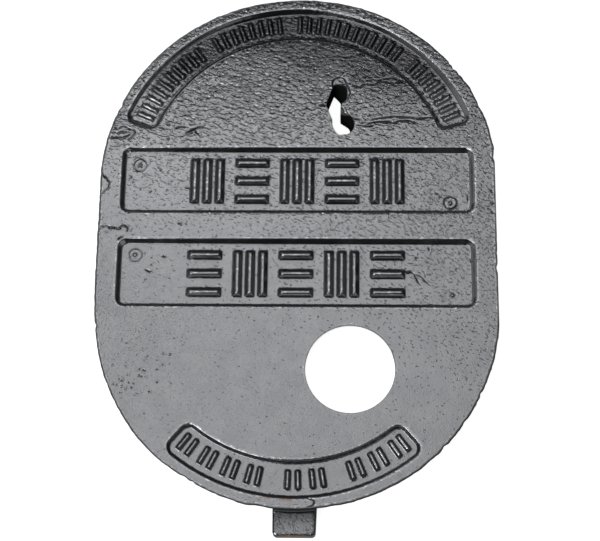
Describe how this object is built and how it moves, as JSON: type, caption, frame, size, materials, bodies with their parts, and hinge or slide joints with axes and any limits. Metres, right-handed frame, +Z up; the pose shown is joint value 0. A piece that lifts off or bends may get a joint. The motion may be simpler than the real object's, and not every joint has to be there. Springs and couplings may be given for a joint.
{
  "type": "water meter box cover",
  "caption": "Oval cast lid with recessed treaded panels, a boot-shaped keyhole, a round reader hole and a hook tongue.",
  "frame": {"origin": "middle of the cover's footprint, tongue included, on the underside seat plane", "axes": "+Z up out of the worn top face, +Y along the long axis away from the tongue, +X to the keyhole's side"},
  "size_m": [0.2284, 0.3195, 0.016],
  "materials": {
    "casting": "satin black paint over as-cast skin"
  },
  "bodies": {
    "root": {"meter_cover": "casting"}
  },
  "joints": []
}
